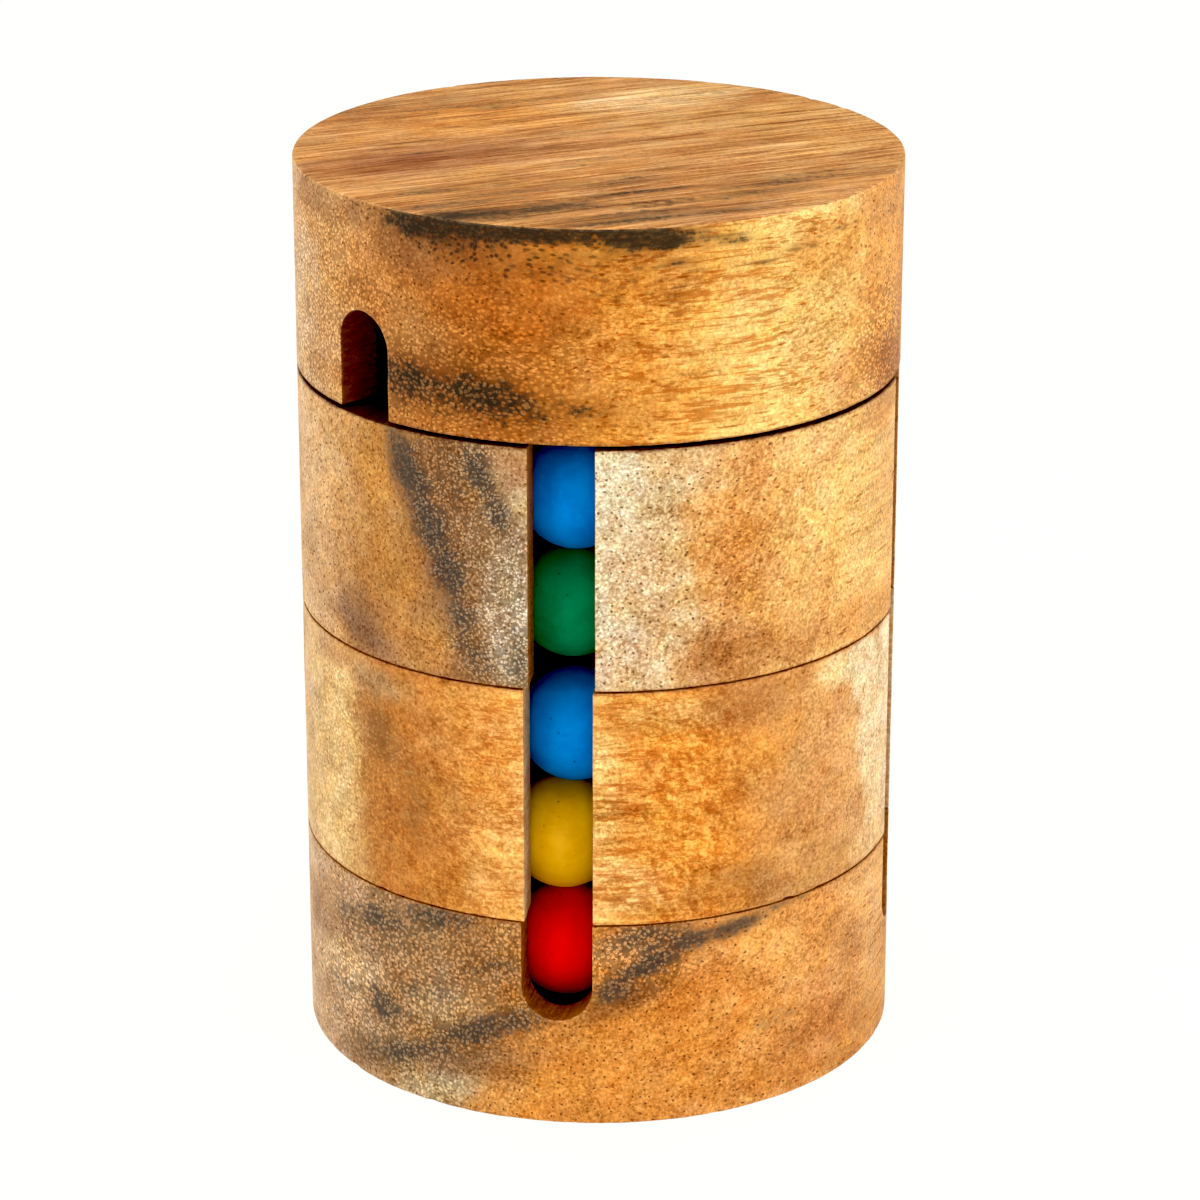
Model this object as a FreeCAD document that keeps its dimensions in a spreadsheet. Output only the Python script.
import FreeCAD, Part
import Sketcher
import math
import os
from FreeCAD import Placement, Rotation, Vector

# A wooden twist puzzle: four round discs of one diameter stacked on a hidden dowel spindle.
# Twenty painted balls stand in four vertical channels that open to the side through narrow slots.
# Frame: origin at the centre of the underside, +Z up along the spindle, millimetres.
# An azimuth is counted from -Y, positive towards +X, in degrees.

doc = FreeCAD.newDocument("twist_ball_puzzle")

# ---------------------------------------------------------------- driving dimensions
# Alias, value or formula, note. A floor is the height of a piece's lower face.
DIMENSIONS = [
    ("disc_radius", 31.5, "outer radius of every disc"),
    ("base_height", 22.4, "base disc"),
    ("ring_height", 25.4, "each of the two rings"),
    ("cap_height", 22.1, "cap disc"),
    ("seam_gap", 0.1, "running gap between neighbouring discs"),
    ("cap_gap", 0.4, "the cap rides a little higher on its spindle"),
    ("lower_floor", "=base_height + seam_gap", "lower ring"),
    ("upper_floor", "=lower_floor + ring_height + seam_gap", "upper ring"),
    ("cap_floor", "=upper_floor + ring_height + cap_gap", "cap disc"),
    ("base_turn", -7.9, "azimuth of the base's first channel"),
    ("lower_turn", -7.5, "azimuth of the lower ring's first channel"),
    ("upper_turn", -6.8, "azimuth of the upper ring's first channel"),
    ("cap_turn", -48.5, "azimuth of the cap's only niche"),
    ("edge_break", 0.2, "rounding of the rims and of the slots' outer edges"),
    # channels and slots
    ("bore_radius", 6.8, "vertical ball channel"),
    ("bore_circle", 20.8, "distance of the channels from the spindle axis"),
    ("niche_depth", 12.1, "blind channel in the base and in the cap"),
    ("arch_reach", 10.7, "slot depth in the base and in the cap, to the round end"),
    ("arch_overrun", 1, "how far an arch is drawn past its disc's open face"),
    ("slot_overrun", 2, "how far a slot cut runs past the outer wall"),
    ("slot_mouth", "=disc_radius + slot_overrun", "outer end of a slot cut"),
    ("slot_run", "=slot_mouth - bore_circle", "length of a slot cut"),
    ("base_slot", 7.3, "slot width, base"),
    ("lower_slot", 7.0, "slot width, lower ring"),
    ("upper_slot", 6.7, "slot width, upper ring"),
    ("cap_slot", 7.4, "slot width, cap"),
    ("base_slot_half", "=base_slot / 2", "half width, base"),
    ("lower_slot_half", "=lower_slot / 2", "half width, lower ring"),
    ("upper_slot_half", "=upper_slot / 2", "half width, upper ring"),
    ("cap_slot_half", "=cap_slot / 2", "half width, cap"),
    ("base_arch_centre", "=base_height - arch_reach + base_slot_half", "centre of round end"),
    ("base_arch_open", "=base_height + arch_overrun", "open end of the arch profile"),
    ("cap_arch_centre", "=arch_reach - cap_slot_half", "centre of round end"),
    # spindle
    ("spindle_radius", 6.0, "hardwood dowel"),
    ("spindle_play", 0.08, "radial running play in the base and rings"),
    ("spindle_bore", "=spindle_radius + spindle_play", "hole in the base and rings"),
    ("glue_play", 0.03, "radial glue line in the cap"),
    ("socket_radius", "=spindle_radius + glue_play", "spindle socket in the cap"),
    ("socket_depth", 14.0, "blind spindle socket in the cap"),
    ("spindle_end_gap", 0.2, "between the spindle's top and the socket's roof"),
    ("spindle_foot", 7.5, "height of the spindle's lower end"),
    ("spindle_length", "=cap_floor + socket_depth - spindle_end_gap - spindle_foot", "dowel"),
    ("spindle_chamfer", 0.7, "both ends of the dowel"),
    ("pilot_radius", 2.0, "pilot hole for the retaining screw"),
    ("pilot_depth", 16.5, "pilot hole depth"),
    # spring pocket and plug
    ("pocket_radius", 10.0, "spring pocket in the base"),
    ("pocket_roof", 14.0, "height of the spring pocket's roof"),
    ("plug_radius", 11.95, "wooden plug"),
    ("plug_seat_radius", 12.0, "plug recess"),
    ("plug_seat_depth", 2.5, "plug recess depth"),
    ("plug_inset", 0.5, "how far the plug sits above the underside"),
    ("plug_gap", 0.02, "between the plug and the top of its recess"),
    ("plug_thick", "=plug_seat_depth - plug_inset - plug_gap", "plug thickness"),
    ("plug_chamfer", 0.3, "lower edge of the plug"),
    # washer, spring and screw
    ("washer_radius", 8.6, "steel washer"),
    ("washer_hole", 2.3, "washer hole radius"),
    ("washer_thick", 1.2, "washer thickness"),
    ("washer_floor", "=spindle_foot - washer_thick", "washer, on the screw's head"),
    ("washer_rounding", 0.25, "outer edges of the washer"),
    ("wire_radius", 0.6, "spring wire"),
    ("wire_gap", 0.05, "above and below the spring"),
    ("coil_radius", 7.3, "spring mean radius"),
    ("coil_turns", 3.25, "spring turns"),
    ("coil_floor", "=spindle_foot + wire_radius + wire_gap", "start of the wire's centreline"),
    ("coil_height", "=pocket_roof - spindle_foot - 2 * (wire_radius + wire_gap)", "centreline"),
    ("coil_pitch", "=coil_height / coil_turns", "spring pitch"),
    ("screw_head_radius", 4.0, "pan head"),
    ("screw_head_height", 2.3, "pan head"),
    ("screw_face_radius", "=screw_head_radius * 0.62", "flat lower face of the head"),
    ("screw_bevel_top", "=screw_head_height * 0.55", "below the head's upper face"),
    ("screw_shank_radius", 1.95, "shank, thread left plain"),
    ("screw_length", 16.0, "under the head"),
    ("screw_point", 3, "length of the pointed end"),
    ("screw_shoulder", "=screw_length - screw_point", "where the point begins"),
    ("recess_arm", 2.1, "driver recess, axis to the end of an arm"),
    ("recess_half", 0.45, "driver recess, half width of an arm"),
    ("recess_depth", 1.5, "driver recess depth"),
    # balls
    ("ball_radius", 5.95, "painted ball, 12 mm nominal"),
    ("ball_gap", 0.03, "below a ball in a niche or on another ball"),
    ("ring_ball_gap", 0.05, "below the lowest ball of a ring"),
    ("niche_ball_z", "=base_height - niche_depth + ball_radius + ball_gap", "centre height"),
    ("lower_ball_z", "=lower_floor + ball_radius + ring_ball_gap", "centre height"),
    ("lower_second_z", "=lower_ball_z + 2 * ball_radius + ball_gap", "centre height"),
    ("upper_ball_z", "=upper_floor + ball_radius + ring_ball_gap", "centre height"),
    ("upper_second_z", "=upper_ball_z + 2 * ball_radius + ball_gap", "centre height"),
]
sheet = doc.addObject("Spreadsheet::Sheet", "dims")
for row, (alias, value, note) in enumerate(DIMENSIONS, start=1):
    sheet.set("A%d" % row, alias)
    sheet.set("B%d" % row, str(value))
    sheet.setAlias("B%d" % row, alias)
    sheet.set("C%d" % row, note)
doc.recompute()


# ---------------------------------------------------------------- helpers
# A term is an alias of the sheet, or its negative written "-alias".
def dim(term):
    """The number a term stands for."""
    size = float(sheet.get(term.lstrip("-")))
    return -size if term.startswith("-") else size


def formula(term):
    """The expression that ties a property to a term."""
    return "-dims." + term[1:] if term.startswith("-") else "dims." + term


def origin_feature(body, role):
    return [f for f in body.Origin.OriginFeatures if f.Role == role][0]


def new_body(label):
    body = doc.addObject("PartDesign::Body", label)
    body.Label = label
    return body


def new_sketch(body, name, plane="XY_Plane", offset=None):
    """A sketch on an origin plane, moved along the plane's normal by a term."""
    sketch = body.newObject("Sketcher::SketchObject", name)
    sketch.AttachmentSupport = (origin_feature(body, plane), [""])
    sketch.MapMode = "FlatFace"
    if offset:
        sketch.setExpression("AttachmentOffset.Base.z", formula(offset))
    return sketch


def bind(sketch, kind, references, term):
    """Add a dimension and tie it to the sheet."""
    number = sketch.addConstraint(Sketcher.Constraint(kind, *references, dim(term)))
    sketch.setExpression("Constraints[%d]" % number, formula(term))


def fix_point(sketch, geometry, point, x_term, y_term):
    """Fix a point's signed distances from the sketch origin; None keeps it on the axis."""
    for term, kind, axis in ((x_term, "DistanceX", -2), (y_term, "DistanceY", -1)):
        if term is None:
            sketch.addConstraint(Sketcher.Constraint("PointOnObject", geometry, point, axis))
        else:
            bind(sketch, kind, (-1, 1, geometry, point), term)


def circle(sketch, radius, y_term=None):
    """A circle centred on the sketch's vertical axis."""
    centre = Vector(0, dim(y_term) if y_term else 0, 0)
    ring_line = sketch.addGeometry(
        Part.Circle(centre, Vector(0, 0, 1), dim(radius)), False
    )
    fix_point(sketch, ring_line, 3, None, y_term)
    bind(sketch, "Radius", (ring_line,), radius)


def outline(sketch, corners):
    """A closed chain of lines through corners given as pairs of terms."""
    points = [Vector(*(dim(term) if term else 0 for term in corner), 0) for corner in corners]
    lines = [
        sketch.addGeometry(Part.LineSegment(start, end), False)
        for start, end in zip(points, points[1:] + points[:1])
    ]
    for line, following in zip(lines, lines[1:] + lines[:1]):
        sketch.addConstraint(Sketcher.Constraint("Coincident", line, 2, following, 1))
    for line, corner in zip(lines, corners):
        fix_point(sketch, line, 1, *corner)


def arch(sketch, half_term, centre_term, open_term):
    """A slot profile in X and Z: two sides, a round end, and a flat end past the open face."""
    half, centre, end = dim(half_term), dim(centre_term), dim(open_term)

    def line(x1, z1, x2, z2):
        return sketch.addGeometry(Part.LineSegment(Vector(x1, z1, 0), Vector(x2, z2, 0)), False)

    left = line(-half, centre, -half, end)
    flat = line(-half, end, half, end)
    right = line(half, end, half, centre)
    # the round end bulges away from the open face
    if end > centre:
        start_angle, at_left, at_right = math.pi, 1, 2
    else:
        start_angle, at_left, at_right = 0, 2, 1
    full = Part.Circle(Vector(0, centre, 0), Vector(0, 0, 1), half)
    arc = sketch.addGeometry(
        Part.ArcOfCircle(full, start_angle, start_angle + math.pi), False
    )
    for constraint in (
        ("Coincident", left, 2, flat, 1),
        ("Coincident", flat, 2, right, 1),
        ("Coincident", left, 1, arc, at_left),
        ("Coincident", right, 2, arc, at_right),
        ("Vertical", left),
        ("Vertical", right),
        ("Horizontal", flat),
        ("PointOnObject", arc, 3, -2),
        ("Horizontal", arc, 3, arc, at_left),
        ("Horizontal", arc, 3, arc, at_right),
    ):
        sketch.addConstraint(Sketcher.Constraint(*constraint))
    bind(sketch, "DistanceX", (arc, at_left, -1, 1), half_term)
    bind(sketch, "DistanceY", (-1, 1, arc, 3), centre_term)
    bind(sketch, "DistanceY", (-1, 1, flat, 1), open_term)


def round_pad(body, height, *radii):
    """Pad a disc upwards from z = 0; a second radius makes a centre hole."""
    sketch = new_sketch(body, "Blank")
    for radius in radii:
        circle(sketch, radius)
    feature = body.newObject("PartDesign::Pad", "Disc")
    feature.Profile = sketch
    feature.setExpression("Length", formula(height))
    doc.recompute()


def pocket(body, name, sketch, depth=None, reverse=False):
    """Cut to a depth, or right through without one; make sure that material goes."""
    before = body.Shape.Volume
    feature = body.newObject("PartDesign::Pocket", name)
    feature.Profile = sketch
    if depth is None:
        feature.Type = "ThroughAll"
        feature.Midplane = True
    else:
        feature.setExpression("Length", formula(depth))
    feature.Reversed = reverse
    doc.recompute()
    if not body.Shape.Volume < before - 1.0:
        raise RuntimeError("%s %s cuts nothing" % (body.Label, name))
    return feature


def round_pocket(body, name, radius, depth=None, reverse=False, y_term=None, offset=None):
    """A round hole; reversed, it goes up from the sketch, else down."""
    sketch = new_sketch(body, name + "Plan", offset=offset)
    circle(sketch, radius, y_term)
    return pocket(body, name, sketch, depth, reverse)


def arch_slot(body, half, centre, open_end):
    """Cut an arched slot from the channel's axis out through the wall."""
    sketch = new_sketch(body, "SlotProfile", "XZ_Plane", "bore_circle")
    arch(sketch, half, centre, open_end)
    return pocket(body, "Slot", sketch, "slot_run", reverse=True)


def four_fold(body, cuts):
    """Repeat the cuts at the four channels."""
    pattern = body.newObject("PartDesign::PolarPattern", "Channels")
    pattern.Originals = cuts
    pattern.Axis = (origin_feature(body, "Z_Axis"), [""])
    pattern.Angle = 360
    pattern.Occurrences = 4
    body.Tip = pattern
    doc.recompute()


def dress(body, kind, edges, size):
    """Add a Fillet or a Chamfer to the named edges."""
    tip = body.Tip
    feature = body.newObject("PartDesign::" + kind, "Edge" + kind)
    feature.Base = (tip, edges)
    feature.setExpression("Radius" if kind == "Fillet" else "Size", formula(size))
    body.Tip = feature
    doc.recompute()


def round_edges(body, radius, below=math.inf):
    """The names of the full circles of one radius that lie below a height."""
    return [
        "Edge%d" % number
        for number, edge in enumerate(body.Tip.Shape.Edges, start=1)
        if edge.isClosed()
        and edge.Curve.TypeId == "Part::GeomCircle"
        and abs(edge.Curve.Radius - dim(radius)) < 1e-6
        and edge.BoundBox.ZMax < below
    ]


def ease_edges(body, height_term):
    """Round the rims and the slots' outer edges, as sanding leaves them."""
    shape = body.Tip.Shape
    radius, height = dim("disc_radius"), dim(height_term)
    rims, sides = [], []
    for number, edge in enumerate(shape.Edges, start=1):
        points = edge.discretize(7)
        if any(abs(math.hypot(p.x, p.y) - radius) >= 1e-4 for p in points):
            continue
        heights = [p.z for p in points]
        azimuths = [math.atan2(p.y, p.x) for p in points]
        if max(heights) < 1e-4 or min(heights) > height - 1e-4:
            rims.append("Edge%d" % number)
        # a full-height upright on one face only is the seam of the cylinder
        elif (
            max(azimuths) - min(azimuths) > 1e-6
            or max(heights) - min(heights) < height - 1e-4
            or sum(any(other.isSame(edge) for other in f.Edges) for f in shape.Faces) > 1
        ):
            sides.append("Edge%d" % number)
    dress(body, "Fillet", rims + sides, "edge_break")


def stand(piece, floor=None, turn=None):
    """Lift a piece to its height and turn it about the spindle axis."""
    if floor:
        piece.setExpression("Placement.Base.z", formula(floor))
    if turn:
        piece.setExpression("Placement.Rotation.Angle", formula(turn))
    return piece


# ---------------------------------------------------------------- pieces
def make_base():
    """Base disc: four blind channels open at the top, and the spring pocket below."""
    body = new_body("base")
    round_pad(body, "base_height", "disc_radius")
    channel = round_pocket(
        body, "Channel", "bore_radius", "niche_depth",
        y_term="-bore_circle", offset="base_height",
    )
    slot = arch_slot(body, "base_slot_half", "base_arch_centre", "base_arch_open")
    four_fold(body, [channel, slot])
    ease_edges(body, "base_height")
    round_pocket(body, "SpindleHole", "spindle_bore")
    round_pocket(body, "SpringPocket", "pocket_radius", "pocket_roof", reverse=True)
    round_pocket(body, "PlugSeat", "plug_seat_radius", "plug_seat_depth", reverse=True)
    return stand(body, turn="base_turn")


def make_ring(level):
    """Lower or upper ring: four through channels with straight slots."""
    body = new_body(level + "_ring")
    round_pad(body, "ring_height", "disc_radius", "spindle_bore")
    channel = round_pocket(body, "Channel", "bore_radius", y_term="-bore_circle")
    half = level + "_slot_half"
    sketch = new_sketch(body, "SlotPlan")
    outline(sketch, [
        ("-" + half, "-bore_circle"),
        (half, "-bore_circle"),
        (half, "-slot_mouth"),
        ("-" + half, "-slot_mouth"),
    ])
    slot = pocket(body, "Slot", sketch)
    four_fold(body, [channel, slot])
    ease_edges(body, "ring_height")
    return stand(body, level + "_floor", level + "_turn")


def make_cap():
    """Cap disc: one blind niche open at the underside, and the spindle socket."""
    body = new_body("cap")
    round_pad(body, "cap_height", "disc_radius")
    round_pocket(
        body, "Niche", "bore_radius", "niche_depth", reverse=True, y_term="-bore_circle"
    )
    arch_slot(body, "cap_slot_half", "cap_arch_centre", "-arch_overrun")
    ease_edges(body, "cap_height")
    round_pocket(body, "SpindleSocket", "socket_radius", "socket_depth", reverse=True)
    return stand(body, "cap_floor", "cap_turn")


def make_spindle():
    """Dowel glued into the cap's socket, running free through both rings and the base."""
    body = new_body("spindle")
    round_pad(body, "spindle_length", "spindle_radius")
    round_pocket(body, "Pilot", "pilot_radius", "pilot_depth", reverse=True)
    dress(body, "Chamfer", round_edges(body, "spindle_radius"), "spindle_chamfer")
    return stand(body, "spindle_foot")


def make_washer():
    """Washer under the spindle's lower end."""
    body = new_body("spindle_washer")
    round_pad(body, "washer_thick", "washer_radius", "washer_hole")
    dress(body, "Fillet", round_edges(body, "washer_radius"), "washer_rounding")
    return stand(body, "washer_floor")


def make_screw():
    """Retaining screw: pan head below the washer, plain shank up into the pilot hole."""
    body = new_body("spindle_screw")
    sketch = new_sketch(body, "Profile", "XZ_Plane")
    outline(sketch, [
        (None, "-screw_head_height"),
        ("screw_face_radius", "-screw_head_height"),
        ("screw_head_radius", "-screw_bevel_top"),
        ("screw_head_radius", None),
        ("screw_shank_radius", None),
        ("screw_shank_radius", "screw_shoulder"),
        (None, "screw_length"),
    ])
    turned = body.newObject("PartDesign::Revolution", "Turned")
    turned.Profile = sketch
    turned.ReferenceAxis = (sketch, ["V_Axis"])
    turned.Angle = 360
    doc.recompute()
    # cross recess for the driver
    sketch = new_sketch(body, "RecessPlan", offset="-screw_head_height")
    arm, half = "recess_arm", "recess_half"
    outline(sketch, [
        ("-" + half, "-" + arm), (half, "-" + arm), (half, "-" + half),
        (arm, "-" + half), (arm, half), (half, half),
        (half, arm), ("-" + half, arm), ("-" + half, half),
        ("-" + arm, half), ("-" + arm, "-" + half), ("-" + half, "-" + half),
    ])
    pocket(body, "DriverRecess", sketch, "recess_depth", reverse=True)
    return stand(body, "washer_floor")


def make_spring():
    """Round wire coil between the washer and the roof of the spring pocket."""
    helix = doc.addObject("Part::Helix", "coil_path")
    helix.setExpression("Radius", formula("coil_radius"))
    helix.setExpression("Height", formula("coil_height"))
    helix.setExpression("Pitch", formula("coil_pitch"))
    wire = doc.addObject("Part::Circle", "wire_section")
    wire.setExpression("Radius", formula("wire_radius"))
    wire.Placement = Placement(
        Vector(dim("coil_radius"), 0, 0), Rotation(Vector(1, 0, 0), 90)
    )
    wire.setExpression("Placement.Base.x", formula("coil_radius"))
    spring = doc.addObject("Part::Sweep", "spindle_spring")
    spring.Sections = [wire]
    spring.Spine = (helix, [])
    spring.Solid = True
    spring.Frenet = True
    spring.Label = "spindle_spring"
    return stand(spring, "coil_floor")


def make_plug():
    """Plug that closes the base from below."""
    body = new_body("base_plug")
    round_pad(body, "plug_thick", "plug_radius")
    dress(body, "Chamfer", round_edges(body, "plug_radius", below=1e-6), "plug_chamfer")
    return stand(body, "plug_inset")


# Azimuth of the first column and centre height at each of the five levels, from the bottom
LEVELS = [
    ("base_turn", "niche_ball_z"),
    ("lower_turn", "lower_ball_z"),
    ("lower_turn", "lower_second_z"),
    ("upper_turn", "upper_ball_z"),
    ("upper_turn", "upper_second_z"),
]
# Four columns (front, right, back, left), each from the bottom level up. Per ball: colour and
# number, then its rest offset in the wider channel, towards growing azimuth and outwards.
COLUMNS = [
    [
        ("red_1", -0.45, -0.10), ("yellow_1", -0.74, 0.10), ("blue_1", 0.35, -0.20),
        ("green_1", -0.10, -0.30), ("blue_2", 0.30, 0.55),
    ],
    [
        ("green_2", 0.30, 0.20), ("red_2", -0.40, 0.30), ("yellow_2", 0.45, -0.20),
        ("blue_3", -0.20, 0.45), ("red_3", 0.50, -0.10),
    ],
    [
        ("yellow_3", 0.20, -0.30), ("green_3", 0.50, 0.20), ("red_4", -0.45, 0.10),
        ("yellow_4", 0.35, -0.40), ("green_4", -0.50, 0.30),
    ],
    [
        ("blue_4", -0.30, 0.30), ("yellow_5", 0.45, -0.25), ("green_5", -0.35, 0.35),
        ("red_5", 0.40, 0.30), ("blue_5", -0.50, -0.20),
    ],
]
WALL_CLEARANCE = 0.05  # least gap between a ball and its channel's wall


def make_ball(colour, column, turn, height, side, out):
    label = "ball_" + colour
    if math.hypot(side, out) > dim("bore_radius") - dim("ball_radius") - WALL_CLEARANCE:
        raise RuntimeError(label + " stands in its channel's wall")
    ball = doc.addObject("Part::Sphere", label)
    ball.Label = label
    ball.setExpression("Radius", formula("ball_radius"))
    angle = "(dims.%s + %d) * 1deg" % (turn, 90 * column)
    reach = "(dims.bore_circle + (%s))" % out
    ball.setExpression(
        "Placement.Base.x", "sin(%s) * %s + cos(%s) * (%s)" % (angle, reach, angle, side)
    )
    ball.setExpression(
        "Placement.Base.y", "-cos(%s) * %s + sin(%s) * (%s)" % (angle, reach, angle, side)
    )
    return stand(ball, height)


pieces = [
    make_base(),
    make_ring("lower"),
    make_ring("upper"),
    make_cap(),
    make_spindle(),
    make_washer(),
    make_screw(),
    make_spring(),
    make_plug(),
]
for column, balls in enumerate(COLUMNS):
    for (colour, side, out), (turn, height) in zip(balls, LEVELS):
        pieces.append(make_ball(colour, column, turn, height, side, out))

# ---------------------------------------------------------------- check and write
doc.recompute()
for obj in doc.Objects:
    if "Invalid" in obj.State or "Error" in obj.State:
        raise RuntimeError("%s: %s" % (obj.Label, obj.State))
os.makedirs("parts", exist_ok=True)
for piece in pieces:
    shape = piece.Shape
    if shape.isNull() or not shape.isValid() or len(shape.Solids) != 1:
        raise RuntimeError("%s: bad shape" % piece.Label)
    shape.exportStep("parts/%s.step" % piece.Label)
